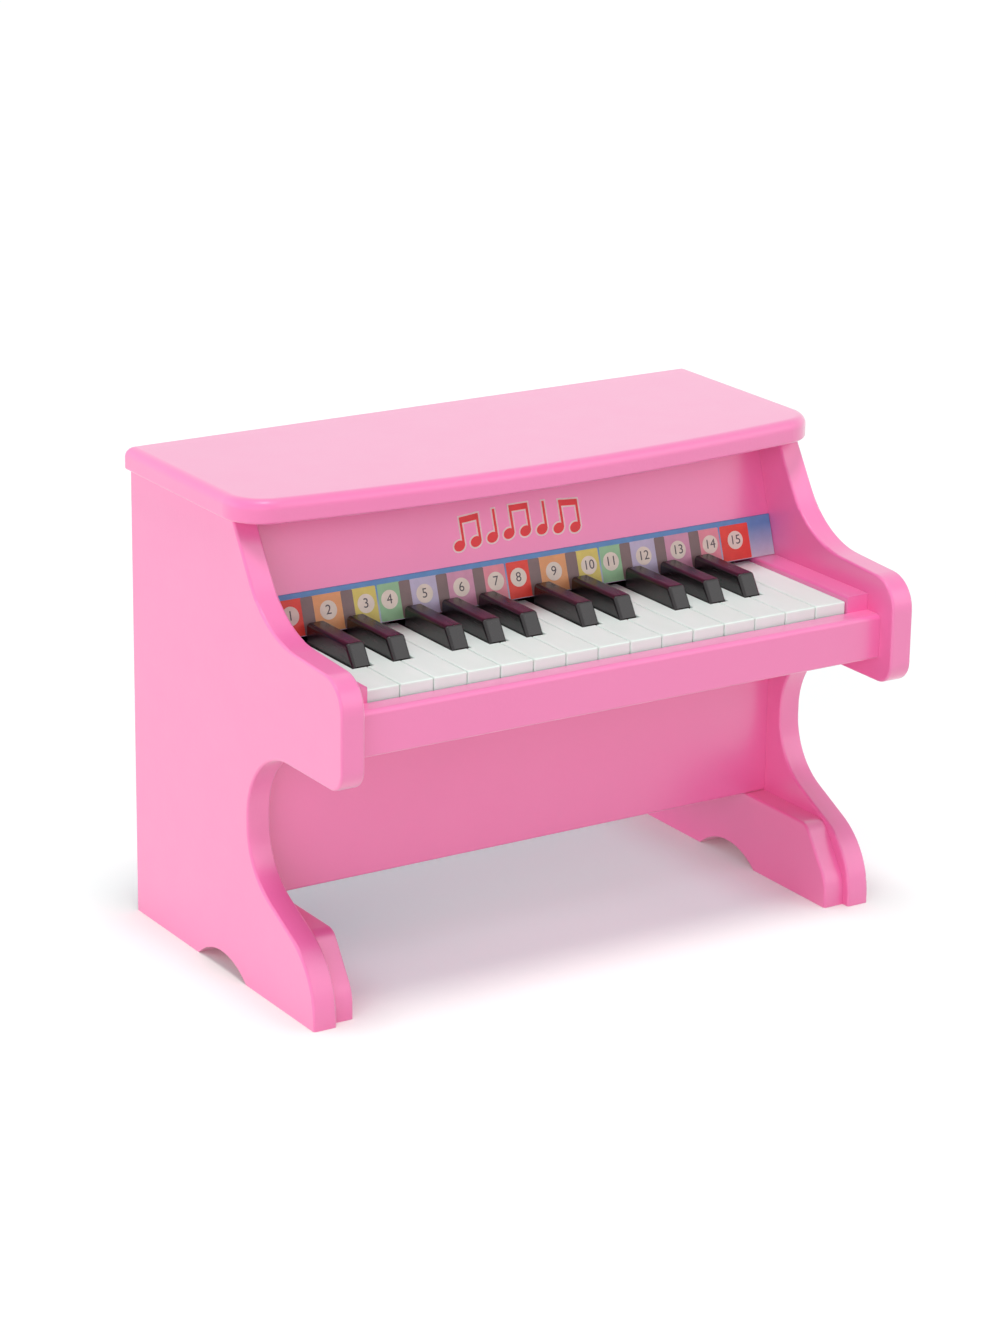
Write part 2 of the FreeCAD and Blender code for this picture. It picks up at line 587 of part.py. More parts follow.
def white_key(key):
    (head_left, head_right), (neck_left, neck_right) = key.head, key.neck
    outline = [(head_left, KEY_FRONT_Y), (head_right, KEY_FRONT_Y)]
    if head_right - neck_right > KEY_GAP:
        outline += [(head_right, HEAD_BACK_Y), (neck_right, HEAD_BACK_Y)]
    outline += [(neck_right, NECK_BACK_Y), (neck_left, NECK_BACK_Y)]
    if neck_left - head_left > KEY_GAP:
        outline += [(neck_left, HEAD_BACK_Y), (head_left, HEAD_BACK_Y)]
    shell = flat_prism(outline, KEY_BOTTOM, KEY_TOP)
    shell = eased(shell, KEY_EDGE_RADIUS, lambda p, edge: p.y < NECK_BACK_Y - SAME_PLACE
                  and (near(p.z, KEY_TOP) or (near(p.y, KEY_FRONT_Y) and runs_along(edge, Z_AXIS))))
    ceiling = KEY_TOP - KEY_WALL
    hollow_back = NECK_BACK_Y - NECK_ROOT
    head_hollow = block(head_left + KEY_WALL, head_right - KEY_WALL, KEY_FRONT_Y + KEY_WALL,
                        HEAD_BACK_Y - KEY_WALL, KEY_BOTTOM, ceiling)
    neck_hollow = block(neck_left + KEY_WALL, neck_right - KEY_WALL, KEY_FRONT_Y + KEY_WALL,
                        hollow_back, KEY_BOTTOM, ceiling)
    shell = shell.cut([head_hollow, neck_hollow])
    return bored_for_rod(shell.fuse(lever(key, hollow_back)))


def black_key(key):
    left, right = key.head
    cap = side_prism([(BLACK_FRONT_Y, KEY_BOTTOM, 0), (BLACK_FRONT_Y, KEY_TOP, 0),
                      (BLACK_FRONT_Y + BLACK_SLOPE, BLACK_TOP, 0), (BLACK_BACK_Y, BLACK_TOP, 0),
                      (BLACK_BACK_Y, KEY_BOTTOM, 0)], left, right)
    cap = eased(cap, BLACK_EDGE_RADIUS, lambda p, edge: p.z > KEY_TOP + SAME_PLACE
                and p.y < BLACK_BACK_Y - SAME_PLACE)
    hollow = block(left + KEY_WALL, right - KEY_WALL, BLACK_FRONT_Y + KEY_WALL, BLACK_BACK_Y - NECK_ROOT,
                   KEY_BOTTOM, LEVER_TOP)
    return bored_for_rod(cap.cut(hollow).fuse(lever(key, BLACK_BACK_Y - NECK_ROOT)))


# Pivot rod, its brackets and the felts
def key_pivot_rod():
    half = CHEEK_INNER_X + ROD_IN_CHEEK
    return rod(vec(-half, PIVOT_Y, PIVOT_Z), X_AXIS, ROD_DIAMETER / 2, 2 * half)


def rod_bracket(x, holes):
    half = BRACKET_THICKNESS / 2
    upright = block(x - half, x + half, PIVOT_Y - BRACKET_WIDTH / 2, PIVOT_Y + BRACKET_WIDTH / 2,
                    BED_TOP, PIVOT_Z + HUB_RADIUS)
    foot = block(x - half, x + half + BRACKET_FOOT, PIVOT_Y - BRACKET_WIDTH / 2, PIVOT_Y + BRACKET_WIDTH / 2,
                 BED_TOP, BED_TOP + BRACKET_THICKNESS)
    bore = rod(vec(x - half, PIVOT_Y, PIVOT_Z), X_AXIS, ROD_DIAMETER / 2 + ROD_FIT, BRACKET_THICKNESS)
    return upright.fuse(foot).cut([bore] + holes).removeSplitter()


def spring_finger(x):
    """A flat leaf from under the front tone rail down to the top of one tail."""
    root_y = rail_y(x, -1)
    tip_y = root_y - SPRING_SPINE_WIDTH / 2 - SPRING_REACH
    tip_z = LEVER_TOP + REST_GAP
    return side_prism([(root_y, RAIL_BOTTOM - SPRING_THICKNESS, 0), (root_y, RAIL_BOTTOM, 0),
                       (tip_y, tip_z + SPRING_THICKNESS, 0), (tip_y, tip_z, 0)],
                      x - SPRING_WIDTH / 2, x + SPRING_WIDTH / 2)


def key_spring_comb(holes):
    spine = rail_strip(-1, CHEEK_INNER_X, SPRING_SPINE_WIDTH, RAIL_BOTTOM - SPRING_THICKNESS, RAIL_BOTTOM)
    fingers = [spring_finger(key.centre) for key in keyboard()]
    return spine.fuse(fingers).cut(holes).removeSplitter()


def lowered(y, z):
    """The height of a point in front of the pivot when its key is pressed all the way."""
    return PIVOT_Z + (y - PIVOT_Y) * math.sin(KEY_ANGLE) + (z - PIVOT_Z) * math.cos(KEY_ANGLE)


def stop_felt(key_front):
    y0 = key_front + STOP_FELT_SETBACK
    return block(-CHEEK_INNER_X, CHEEK_INNER_X, y0, y0 + STOP_FELT_WIDTH, BED_TOP,
                 lowered(y0, KEY_BOTTOM) - STOP_GAP)


def tail_rail():
    return block(-CHEEK_INNER_X, CHEEK_INNER_X, TAIL_Y - TAIL_RAIL_WIDTH, TAIL_Y, BED_TOP,
                 LEVER_BOTTOM - REST_GAP - TAIL_FELT_THICKNESS)


def tail_felt():
    top = LEVER_BOTTOM - REST_GAP
    return block(-CHEEK_INNER_X, CHEEK_INNER_X, TAIL_Y - TAIL_RAIL_WIDTH, TAIL_Y,
                 top - TAIL_FELT_THICKNESS, top)


# Tone bars on their rails
def bar_length(note):
    """A bar sounds an octave higher when it is shorter by the square root of two."""
    return LONGEST_BAR * 2 ** (-note / KEYS_PER_OCTAVE / 2)


def rail_y(x, end):
    """The middle of the front (-1) or rear (1) rail at x: a straight line under the bars' still points."""
    keys = keyboard()
    first, last = keys[0].centre, keys[-1].centre
    along = (x - first) / (last - first)
    spread = BAR_NODE_SHARE * (bar_length(0) * (1 - along) + bar_length(len(keys) - 1) * along)
    return STRIKE_Y + end * spread


def rail_strip(end, half_length, width, z0, z1):
    corners = []
    for x, side in ((-half_length, -1), (half_length, -1), (half_length, 1), (-half_length, 1)):
        corners.append((x, rail_y(x, end) + side * width / 2))
    return flat_prism(corners, z0, z1)


def pin(x, end):
    start = vec(x, rail_y(x, end), RAIL_TOP - PIN_DEPTH)
    shank = rod(start, Z_AXIS, PIN_DIAMETER / 2, BAR_TOP - RAIL_TOP + PIN_DEPTH)
    head = rod(vec(x, rail_y(x, end), BAR_TOP), Z_AXIS, PIN_HEAD_DIAMETER / 2, PIN_HEAD_HEIGHT)
    return shank.fuse(head).removeSplitter()


def pin_holes(end):
    depth = RAIL_FELT_THICKNESS + PIN_DEPTH + PIN_FIT
    return [rod(vec(key.centre, rail_y(key.centre, end), BAR_BOTTOM - depth), Z_AXIS,
                PIN_DIAMETER / 2 + PIN_FIT, depth) for key in keyboard()]


def tone_bar(note, x):
    half = bar_length(note) / 2
    bar = block(x - BAR_WIDTH / 2, x + BAR_WIDTH / 2, STRIKE_Y - half, STRIKE_Y + half, BAR_BOTTOM, BAR_TOP)
    return bar.cut([rod(vec(x, rail_y(x, end), BAR_BOTTOM), Z_AXIS, BAR_HOLE_DIAMETER / 2, BAR_THICKNESS)
                    for end in (-1, 1)])


def tone_rail(end, holes):
    return rail_strip(end, SIDE_INNER_X, RAIL_WIDTH, RAIL_BOTTOM, RAIL_TOP).cut(pin_holes(end) + holes)


def tone_felt(end):
    return rail_strip(end, CHEEK_INNER_X, RAIL_FELT_WIDTH, RAIL_TOP, BAR_BOTTOM).cut(pin_holes(end))


def right_cleat(holes):
    return block(SIDE_INNER_X - CLEAT_WIDTH, SIDE_INNER_X, CLEAT_Y, CLEAT_BACK_Y,
                 RAIL_BOTTOM - CLEAT_HEIGHT, RAIL_BOTTOM).cut(holes)


def save(name, *shapes):
    """Write one piece, or a group of like pieces, as one file."""
    shape = shapes[0] if len(shapes) == 1 else Part.makeCompound(list(shapes))
    if not shape.isValid():
        raise ValueError(f"{name} is not a sound shape")
    shape.exportStep(f"parts/{name}.step")


def main():
    os.makedirs("parts", exist_ok=True)

    right_dowels = right_side_dowels()
    left_dowels = [(mirrored(peg), mirrored(hole)) for peg, hole in right_dowels]
    dowels = right_dowels + left_dowels
    dowel_holes = [hole for peg, hole in dowels]
    panel_screws = back_screws()
    panel_screw_holes = [hole for body, hole in panel_screws]
    inner_screws = bracket_screws() + cleat_screws() + rail_screws() + spring_screws()
    inner_screw_holes = [hole for body, hole in inner_screws]
    holes = dowel_holes + panel_screw_holes + inner_screw_holes

    side = right_side_panel([])
    save("right_side_panel", side.cut(holes))
    save("left_side_panel", mirrored(side).cut(holes))
    save("right_foot_block", right_foot_block())
    save("left_foot_block", mirrored(right_foot_block()))
    save("right_cheek_block", right_cheek_block())
    save("left_cheek_block", mirrored(right_cheek_block()))
    save("lid", lid(dowel_holes))
    save("fallboard", fallboard(dowel_holes))
    save("key_guide_strip", key_guide_strip())
    save("keyslip", keyslip(dowel_holes))
    save("key_bed", inner_board(KEYSLIP_BACK_Y, PANEL_BACK_Y, BED_BOTTOM, BED_TOP, holes))
    save("lower_front_panel", lower_front_panel(dowel_holes))
    save("bottom_board", inner_board(LOWER_PANEL_BACK_Y, PANEL_BACK_Y, FOOT_BLOCK_HEIGHT,
                                     FOOT_BLOCK_HEIGHT + PANEL_THICKNESS, holes))
    save("back_panel", back_panel(panel_screw_holes))
    save("case_dowels", *[peg for peg, hole in dowels])
    save("back_panel_screws", *[body for body, hole in panel_screws])

    for key in keyboard():
        save(key.name, black_key(key) if key.black else white_key(key))
    save("key_pivot_rod", key_pivot_rod())
    save("rod_brackets", *[rod_bracket(x, inner_screw_holes) for x in bracket_places()])
    save("key_spring_comb", key_spring_comb(inner_screw_holes))
    save("key_stop_felts", stop_felt(KEY_FRONT_Y), stop_felt(BLACK_FRONT_Y))
    save("key_tail_rail", tail_rail())
    save("key_tail_felt", tail_felt())

    save("tone_bars", *[tone_bar(note, key.centre) for note, key in enumerate(keyboard())])
    save("tone_bar_pins", *[pin(key.centre, end) for key in keyboard() for end in (-1, 1)])
    for name, end in (("front", -1), ("rear", 1)):
        save(f"tone_rail_{name}", tone_rail(end, inner_screw_holes))
        save(f"tone_felt_{name}", tone_felt(end))
    save("tone_cleat_right", right_cleat(inner_screw_holes))
    save("tone_cleat_left", mirrored(right_cleat([])).cut(inner_screw_holes))
    save("action_screws", *[body for body, hole in inner_screws])


main()
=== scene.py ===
"""The looks of the toy piano: finishes, printed strip and motif, springs, floor, soft light and camera.

Metres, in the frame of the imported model: X along the keyboard, Y from the player to the back, Z up.
"""

import json
import math

import bmesh
import bpy
from mathutils import Matrix, Vector


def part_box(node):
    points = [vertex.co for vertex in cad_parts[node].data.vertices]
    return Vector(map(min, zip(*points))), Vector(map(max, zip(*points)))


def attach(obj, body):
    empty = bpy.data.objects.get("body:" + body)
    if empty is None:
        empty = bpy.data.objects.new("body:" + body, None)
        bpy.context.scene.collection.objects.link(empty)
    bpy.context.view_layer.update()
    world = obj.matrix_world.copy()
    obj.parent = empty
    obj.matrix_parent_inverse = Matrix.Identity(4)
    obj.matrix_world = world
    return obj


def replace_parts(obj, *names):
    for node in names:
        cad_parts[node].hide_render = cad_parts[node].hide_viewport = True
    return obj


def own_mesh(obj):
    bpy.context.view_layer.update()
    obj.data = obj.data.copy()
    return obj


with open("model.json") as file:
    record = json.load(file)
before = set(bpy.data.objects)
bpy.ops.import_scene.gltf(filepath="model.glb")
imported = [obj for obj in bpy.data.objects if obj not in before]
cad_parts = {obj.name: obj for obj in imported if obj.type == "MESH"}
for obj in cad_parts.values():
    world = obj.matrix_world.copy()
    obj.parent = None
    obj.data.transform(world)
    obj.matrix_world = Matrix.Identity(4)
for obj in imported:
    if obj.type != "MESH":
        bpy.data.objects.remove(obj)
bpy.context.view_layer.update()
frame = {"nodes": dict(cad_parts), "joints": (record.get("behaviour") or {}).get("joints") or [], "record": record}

MM = 0.001
CASE = "case"

# Colours, as linear red, green and blue
PINK = (0.90, 0.165, 0.455)
PINK_DEEP = (0.89, 0.155, 0.445)
KEY_WHITE = (0.84, 0.96, 0.91)
KEY_WHITE_SHADE = (0.80, 0.93, 0.87)
KEY_BLACK = (0.007, 0.005, 0.006)
KEY_BLACK_SHADE = (0.011, 0.008, 0.009)
WOOD = (0.62, 0.44, 0.26)
WOOD_DARK = (0.42, 0.27, 0.14)
FELT = (0.36, 0.05, 0.08)
FELT_DARK = (0.20, 0.02, 0.04)
STEEL = (0.62, 0.62, 0.64)
STEEL_DARK = (0.48, 0.48, 0.50)
ALUMINIUM = (0.80, 0.81, 0.83)
ALUMINIUM_DARK = (0.70, 0.71, 0.73)
PRINT_BLUE = (0.13, 0.31, 0.62)
PRINT_SKY = (0.62, 0.64, 0.76)
PRINT_TAUPE = (0.24, 0.165, 0.165)
PRINT_DARK = (0.10, 0.08, 0.09)
PRINT_PALE = (0.90, 0.80, 0.70)
MOTIF_RED = (0.85, 0.045, 0.055)
MOTIF_PALE = (0.95, 0.74, 0.74)
NOTE_COLOURS = {
    "red": (0.88, 0.075, 0.055), "orange": (0.88, 0.42, 0.19), "yellow": (0.78, 0.66, 0.17),
    "green": (0.34, 0.60, 0.35), "lavender": (0.60, 0.55, 0.74), "mauve": (0.74, 0.36, 0.52),
    "rose": (0.88, 0.32, 0.40),
}

# Nodes of the finishes: the places of a Mix node's colour sockets, whose names repeat, and rays per rounding
MIX_FIRST, MIX_SECOND, MIX_RESULT = 6, 7, 2
ROUNDING_SAMPLES = 4

# The printed strip on the fallboard's lower edge; tops are heights above the board's face
FALLBOARD_LEAN = math.radians(18)
PRINT_SLOT = "printed_strip"
INK = 0.06 * MM
STRIP_LINE = 3.0 * MM
STRIP_FOOT = 0.3 * MM
STRIP_FADE = 0.8
PRINT_SHIFT = -1.5 * MM
TILE_GAP = 0.5 * MM
TILE_ROUNDING = 0.8 * MM
BAR_SHARE = 0.62
BAR_TOP = 2 * INK
DISC_RADIUS = 5.6 * MM
DISC_POINTS = 28
DISC_RISE = 0.56
DISC_TOP = 3 * INK
DIGIT_HEIGHT = 8.0 * MM
OCTAVE = ("red", "orange", "yellow", "green", "lavender", "mauve", "rose")

# The row of notes on the fallboard
HEAD_SIZE = (3.9 * MM, 3.0 * MM)
HEAD_POINTS = 24
HEAD_TILT = 22
STEM_WIDTH = 1.6 * MM
STEM_HEIGHT = 16.5 * MM
STEM_LIFT = 0.2 * INK
BEAM_HEIGHT = 3.6 * MM
BEAM_LIFT = 0.4 * INK
NOTE_EDGE = 1.0 * MM
NOTE_TOP = 2.5 * INK
NOTE_STEP = 11.6 * MM
NOTE_LIFTS = (0.0, 1.0 * MM, 1.9 * MM, 2.5 * MM, 2.5 * MM, 1.9 * MM, 1.0 * MM, 0.0)
BEAMED_PAIRS = ((0, 1), (3, 4), (6, 7))
MOTIF_UP = 36.5 * MM

# The springs inside the case
COMB = "key_spring_comb"
COMB_SLOT = "steel"
LEAF_LENGTH = 15.5 * MM
LEAF_ROOM = 4.0 * MM
WELD = 0.002 * MM

# The studio; a lamp has a name, a direction from the object, a strength, a width in degrees, and whether
# glossy surfaces mirror it. Most of the light isn't mirrored: it would glare on the lid from the far side.
FLOOR_SIZE = 30.0
FLOOR_COLOUR = (0.83, 0.75, 0.71)
FLOOR_GLOW = (0.215, 0.355, 0.375)
# How far and with how many rays the floor's glow is dimmed near the case: a painted shade at the feet and arches
PAINTED_SHADE_REACH = 0.05
PAINTED_SHADE_SAMPLES = 8
AMBIENT = 0.13
LAMPS = (
    ("left_softbox", (-0.88, 0.55, 0.10), 2.05, 50, False),
    ("front_softbox", (-0.95, -1.0, 0.20), 1.60, 50, False),
    ("front_card", (0.52, -0.68, 0.45), 0.30, 44, True),
    ("right_softbox", (1.0, -0.05, 0.20), 0.65, 50, False),
    ("top_softbox", (-0.05, -0.17, 1.0), 1.44, 20, False),
    ("top_glint", (-0.05, -0.17, 1.0), 0.38, 20, True),
)

# The camera of the photograph
CAMERA_PLACE = (-1.1934, -1.8401, 0.8819)
CAMERA_AZIMUTH = math.radians(-32.63)
CAMERA_ELEVATION = math.radians(18.26)
CAMERA_ROLL = math.radians(0.84)
CAMERA_LENS = 104.57
CAMERA_SENSOR = 36.0
CAMERA_REACH = 100.0


class Finish:
    """A material under construction: short calls for the nodes that the finishes share."""

    def __init__(self, name):
        self.material = bpy.data.materials.new(name)
        self.material.use_nodes = True
        self.tree = self.material.node_tree
        self.shader = self.tree.nodes["Principled BSDF"]
        self.place = self.add("ShaderNodeTexCoord").outputs["Object"]

    def add(self, kind, settings=None, **inputs):
        """A new node with its settings and inputs."""
        node = self.tree.nodes.new(kind)
        for name, value in (settings or {}).items():
            setattr(node, name, value)
        for name, value in inputs.items():
            self.put(node.inputs[name], value)
        return node

    def put(self, socket, value):
        """Link a socket to another one, or set its constant."""
        if isinstance(value, bpy.types.NodeSocket):
            self.tree.links.new(value, socket)
        elif isinstance(value, tuple) and socket.type == "RGBA":
            socket.default_value = (*value, 1)
        else:
            socket.default_value = value

    def set(self, **inputs):
        """Give the shader its inputs, with an underscore for each space in their names."""
        for name, value in inputs.items():
            self.put(self.shader.inputs[name.replace("_", " ")], value)

    def stretched(self, x, y, z):
        """The place on the object with its axes scaled: a small scale draws a noise out along that axis."""
        return self.add("ShaderNodeMapping", Vector=self.place, Scale=Vector((x, y, z))).outputs["Vector"]

    def noise(self, scale, detail=2.0, vector=None):
        node = self.add("ShaderNodeTexNoise", Vector=vector or self.place, Scale=scale, Detail=detail)
        return node.outputs["Fac"]

    def spread(self, value, low=0.0, high=1.0, start=0.3, end=0.7):
        """Map a noise value from start..end to low..high."""
        node = self.add("ShaderNodeMapRange", Value=value)
        for socket, number in zip(node.inputs[1:5], (start, end, low, high)):
            socket.default_value = number
        return node.outputs["Result"]

    def mixed(self, factor, first, second):
        """A colour between two others."""
        node = self.add("ShaderNodeMix", {"data_type": "RGBA"})
        self.put(node.inputs["Factor"], factor)
        self.put(node.inputs[MIX_FIRST], first)
        self.put(node.inputs[MIX_SECOND], second)
        return node.outputs[MIX_RESULT]

    def summed(self, first, second, share):
        """first plus a share of second."""
        node = self.add("ShaderNodeMath", {"operation": "MULTIPLY_ADD"})
        self.put(node.inputs[0], second)
        node.inputs[1].default_value = share
        self.put(node.inputs[2], first)
        return node.outputs[0]

    def rounded(self, radius):
        """The normal of a surface whose sharp edges look rounded."""
        return self.add("ShaderNodeBevel", {"samples": ROUNDING_SAMPLES}, Radius=radius).outputs["Normal"]

    def bumped(self, height, distance, normal=None):
        node = self.add("ShaderNodeBump", Height=height, Distance=distance)
        if normal:
            self.put(node.inputs["Normal"], normal)
        self.set(Normal=node.outputs["Normal"])


# Finishes
def painted(name, light, deep):
    """Sprayed lacquer on smooth board: a faint cloudiness, a satin haze, orange peel and softened arrises."""
    finish = Finish(name)
    clouds = finish.spread(finish.noise(scale=14.0, detail=3.0))
    soft = finish.rounded(0.9 * MM)
    finish.set(Base_Color=finish.mixed(clouds, light, deep),
               Roughness=finish.spread(finish.noise(scale=45.0, detail=4.0), low=0.36, high=0.42), IOR=1.6,
               Coat_Weight=1.0, Coat_Roughness=0.30, Coat_IOR=1.8, Sheen_Weight=0.4, Sheen_Roughness=0.4)
    peel = finish.summed(finish.noise(scale=420.0), finish.noise(scale=90.0), share=0.6)
    finish.bumped(peel, distance=0.10 * MM, normal=soft)
    return finish.material


def moulded(name, light, shade, roughness, gloss):
    """Moulded plastic with flow marks and fine rubbing."""
    finish = Finish(name)
    flow = finish.spread(finish.noise(scale=60.0, detail=3.0, vector=finish.stretched(1.0, 0.35, 1.0)))
    rubbing = finish.noise(scale=900.0, detail=3.0, vector=finish.stretched(1.0, 0.08, 1.0))
    soft = finish.rounded(0.4 * MM)
    finish.set(Base_Color=finish.mixed(flow, light, shade),
               Roughness=finish.spread(rubbing, low=roughness, high=roughness + 0.08),
               Specular_IOR_Level=gloss)
    finish.bumped(finish.noise(scale=260.0), distance=0.03 * MM, normal=soft)
    return finish.material


def printed(name, colour, fade=None, node=None):
    """Ink on a plastic film, slightly mottled; with a fade colour it pales down the height of a node."""
    finish = Finish(name)
    ink = colour
    if fade:
        low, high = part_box(node)
        height = finish.add("ShaderNodeSeparateXYZ", Vector=finish.place).outputs["Z"]
        rise = finish.spread(height, start=low.z, end=low.z + STRIP_FADE * (high.z - low.z))
        ink = finish.mixed(rise, fade, colour)
    blotches = finish.noise(scale=160.0, detail=3.0)
    specks = finish.noise(scale=2400.0, detail=1.0)
    mottle = finish.summed(blotches, specks, share=0.35)
    worn = finish.mixed(0.85, (0, 0, 0), ink)
    finish.set(Base_Color=finish.mixed(finish.spread(mottle, start=0.4, end=0.95), ink, worn),
               Roughness=finish.spread(finish.noise(scale=300.0), low=0.36, high=0.46))
    finish.bumped(finish.noise(scale=1500.0), distance=0.02 * MM)
    return finish.material


def wooden(name, light, dark):
    """Planed wood with its grain along X."""
    finish = Finish(name)
    rings = finish.noise(scale=55.0, detail=5.0, vector=finish.stretched(0.06, 1.0, 1.0))
    pores = finish.noise(scale=500.0, detail=3.0, vector=finish.stretched(0.03, 1.0, 1.0))
    grain = finish.summed(rings, pores, share=0.4)
    finish.set(Base_Color=finish.mixed(finish.spread(grain, start=0.45, end=0.95), light, dark),
               Roughness=finish.spread(pores, low=0.50, high=0.72))
    finish.bumped(pores, distance=0.15 * MM)
    return finish.material


def felted(name, light, dark):
    """Pressed wool: short fibres in every direction."""
    finish = Finish(name)
    hairs = finish.noise(scale=1300.0, detail=4.0)
    tufts = finish.noise(scale=250.0, detail=3.0)
    fibres = finish.summed(hairs, tufts, share=0.5)
    finish.set(Base_Color=finish.mixed(finish.spread(fibres, start=0.5, end=1.0), dark, light),
               Roughness=0.95, Sheen_Weight=0.4, Sheen_Roughness=0.5)
    finish.bumped(fibres, distance=0.4 * MM)
    return finish.material


def metallic(name, light, dark, roughness):
    """Drawn or plated metal with fine lines and a dull bloom."""
    finish = Finish(name)
    lines = finish.noise(scale=1800.0, detail=3.0, vector=finish.stretched(1.0, 0.04, 1.0))
    bloom = finish.noise(scale=70.0, detail=3.0)
    finish.set(Base_Color=finish.mixed(finish.spread(bloom), light, dark), Metallic=1.0,
               Roughness=finish.spread(lines, low=roughness, high=roughness + 0.15))
    finish.bumped(lines, distance=0.03 * MM)
    return finish.material


def dress_nodes():
    """Give every node of the model the finish of its material slot."""
    finishes = {
        "pink_paint": painted("pink_lacquer", PINK, PINK_DEEP),
        "white_plastic": moulded("white_keys", KEY_WHITE, KEY_WHITE_SHADE, roughness=0.32, gloss=0.25),
        "black_plastic": moulded("black_keys", KEY_BLACK, KEY_BLACK_SHADE, roughness=0.20, gloss=0.65),
        PRINT_SLOT: printed("strip_film", PRINT_BLUE, PRINT_SKY, "key_guide_strip"),
        "bare_wood": wooden("planed_wood", WOOD, WOOD_DARK),
        "felt": felted("red_felt", FELT, FELT_DARK),
        COMB_SLOT: metallic("plated_steel", STEEL, STEEL_DARK, roughness=0.28),
        "aluminium_bar": metallic("brushed_aluminium", ALUMINIUM, ALUMINIUM_DARK, roughness=0.25),
    }
    for part in frame["record"]["subparts"]:
        mesh = frame["nodes"][part["node"]].data
        mesh.materials.clear()
        mesh.materials.append(finishes[part["material_slot"]])


def new_piece(name, bm, materials):
    """Turn a mesh under construction into a piece that rides on the case."""
    mesh = bpy.data.meshes.new(name)
    bm.to_mesh(mesh)
    bm.free()
    for material in materials:
        mesh.materials.append(material)
    piece = bpy.data.objects.new(name, mesh)
    bpy.context.scene.collection.objects.link(piece)
    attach(piece, CASE)
    return piece


# Flat pieces on the leaning fallboard
class Slope:
    """The leaning face that runs up a node's front: points are given along X, up the face and out of it."""

    def __init__(self, node, lean):
        low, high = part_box(node)
        self.height = (high.z - low.z) / math.cos(lean)
        self.start = Vector((0, low.y, low.z))
        self.up = Vector((0, math.sin(lean), math.cos(lean)))
        self.out = Vector((0, -math.cos(lean), math.sin(lean)))

    def point(self, x, up, out):
        return self.start + Vector((x, 0, 0)) + self.up * up + self.out * out


class Sticker:
    """Thin flat shapes on a slope, gathered into one mesh."""

    def __init__(self, name, slope, bottom, top):
        self.name = name
        self.slope = slope
        self.bottom = bottom
        self.top = top
        self.bm = bmesh.new()
        self.materials = []

    def shape(self, outline, material, lift=0.0):
        """Add a shape whose outline is a list of (x, up) points, anticlockwise as seen from the front."""
        if material not in self.materials:
            self.materials.append(material)
        index = self.materials.index(material)
        rings = [[self.bm.verts.new(self.slope.point(x, up, out)) for x, up in outline]
                 for out in (self.bottom, self.top + lift)]
        faces = [self.bm.faces.new(rings[1]), self.bm.faces.new(rings[0][::-1])]
        for i in range(len(outline)):
            j = (i + 1) % len(outline)
            faces.append(self.bm.faces.new((rings[0][i], rings[0][j], rings[1][j], rings[1][i])))
        for face in faces:
            face.material_index = index

    def finish(self):
        new_piece(self.name, self.bm, self.materials)


def arc(centre, radius, start, end, steps=5):
    """Points on a circle from one angle to another, in degrees."""
    angles = [math.radians(start + (end - start) * i / steps) for i in range(steps + 1)]
    return [(centre[0] + radius * math.cos(a), centre[1] + radius * math.sin(a)) for a in angles]


def ellipse(centre, radii, points):
    angles = [math.radians(360 * i / points) for i in range(points)]
    return [(centre[0] + radii[0] * math.cos(a), centre[1] + radii[1] * math.sin(a)) for a in angles]


def rounded_box(x0, x1, y0, y1, radius):
    return (arc((x1 - radius, y0 + radius), radius, -90, 0)
            + arc((x1 - radius, y1 - radius), radius, 0, 90)
            + arc((x0 + radius, y1 - radius), radius, 90, 180)
            + arc((x0 + radius, y0 + radius), radius, 180, 270))


def turned(points, centre, degrees):
    """The points turned about a centre."""
    c, s = math.cos(math.radians(degrees)), math.sin(math.radians(degrees))
    return [(centre[0] + c * (x - centre[0]) - s * (y - centre[1]),
             centre[1] + s * (x - centre[0]) + c * (y - centre[1])) for x, y in points]


def key_span(name):
    """The part of the strip over a key: the print sits a little to the left, as in the photograph."""
    low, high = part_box(name)
    return low.x + PRINT_SHIFT, high.x + PRINT_SHIFT


def digits(text, slope, centre, out):
    """The mesh of a plain number, laid on the slope round a centre."""
    curve = bpy.data.curves.new("digits", "FONT")
    curve.body = text
    curve.align_x = "CENTER"
    curve.align_y = "CENTER"
    curve.size = DIGIT_HEIGHT
    curve.extrude = INK
    maker = bpy.data.objects.new("digits", curve)
    bpy.context.scene.collection.objects.link(maker)
    bpy.context.view_layer.update()
    mesh = bpy.data.meshes.new_from_object(maker.evaluated_get(bpy.context.evaluated_depsgraph_get()))
    bpy.data.objects.remove(maker)
    bpy.data.curves.remove(curve)
    for vertex in mesh.vertices:
        vertex.co = slope.point(centre[0] + vertex.co.x, centre[1] + vertex.co.y, out + vertex.co.z)
    return mesh


